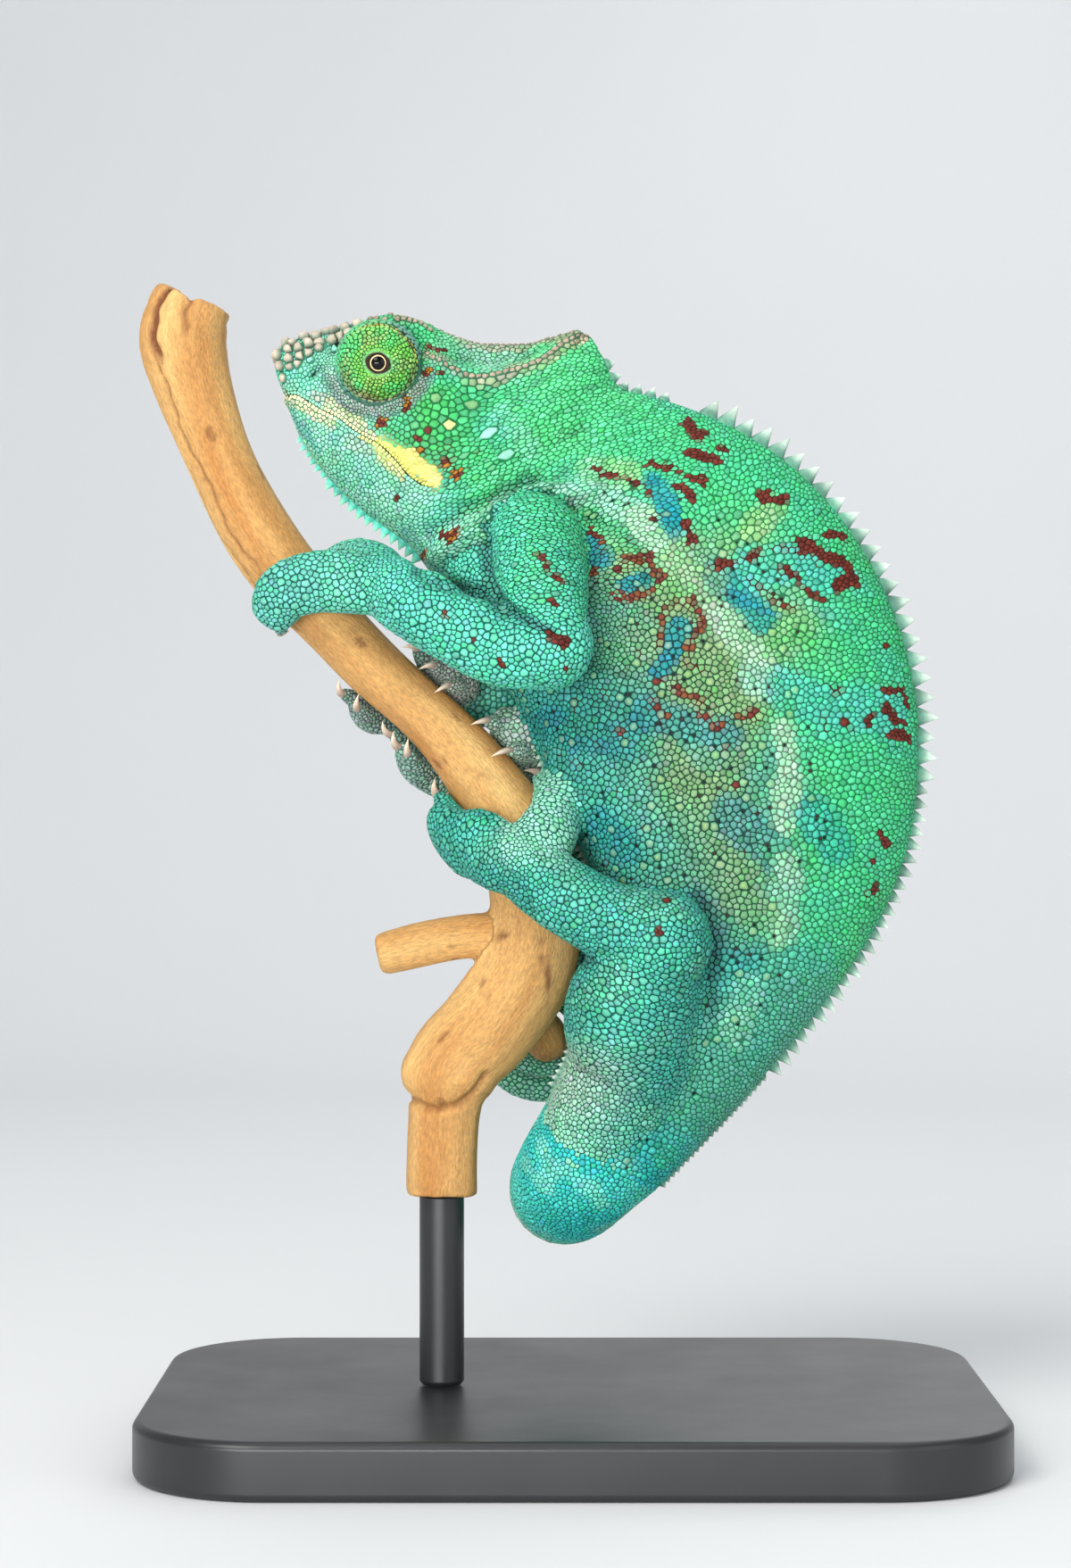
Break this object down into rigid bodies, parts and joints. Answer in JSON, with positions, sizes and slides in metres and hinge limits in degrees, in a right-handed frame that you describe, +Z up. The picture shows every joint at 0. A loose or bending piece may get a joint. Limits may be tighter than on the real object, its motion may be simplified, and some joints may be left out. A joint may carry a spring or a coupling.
{
  "type": "chameleon figure on a perch",
  "caption": "Life-size still model of a green and turquoise panther chameleon gripping a short cut branch, its tail coiled round a twig, held by a plain black display stand",
  "frame": {"origin": "middle of the underside of the stand's base", "axes": "+Z up; the animal faces -X, its left side faces -Y"},
  "size_m": [0.1525, 0.11, 0.2077],
  "materials": {
    "skin": "small domed scales in green, turquoise and grey-green, with a pale stripe and red-brown marks",
    "eyelid": "fine granular scales in rings",
    "eye": "wet black pupil with a golden ring",
    "wood": "peeled, smooth, warm tan, with cracks and a brown stain",
    "stand": "satin black"
  },
  "bodies": {
    "root": {"head": "skin", "lower_jaw": "skin", "neck": "skin", "trunk": "skin", "tail_1": "skin", "tail_2": "skin", "tail_3": "skin", "tail_4": "skin", "upper_arm_left": "skin", "forearm_left": "skin", "hand_left_outer": "skin", "hand_left_inner": "skin", "thigh_left": "skin", "shank_left": "skin", "foot_left_outer": "skin", "foot_left_inner": "skin", "upper_arm_right": "skin", "forearm_right": "skin", "hand_right_inner": "skin", "hand_right_outer": "skin", "thigh_right": "skin", "shank_right": "skin", "foot_right_inner": "skin", "foot_right_outer": "skin", "eyelid_left": "eyelid", "eyelid_right": "eyelid", "eye_left": "eye", "eye_right": "eye", "perch": "wood", "stand_base": "stand", "stand_rod": "stand"}
  },
  "joints": []
}
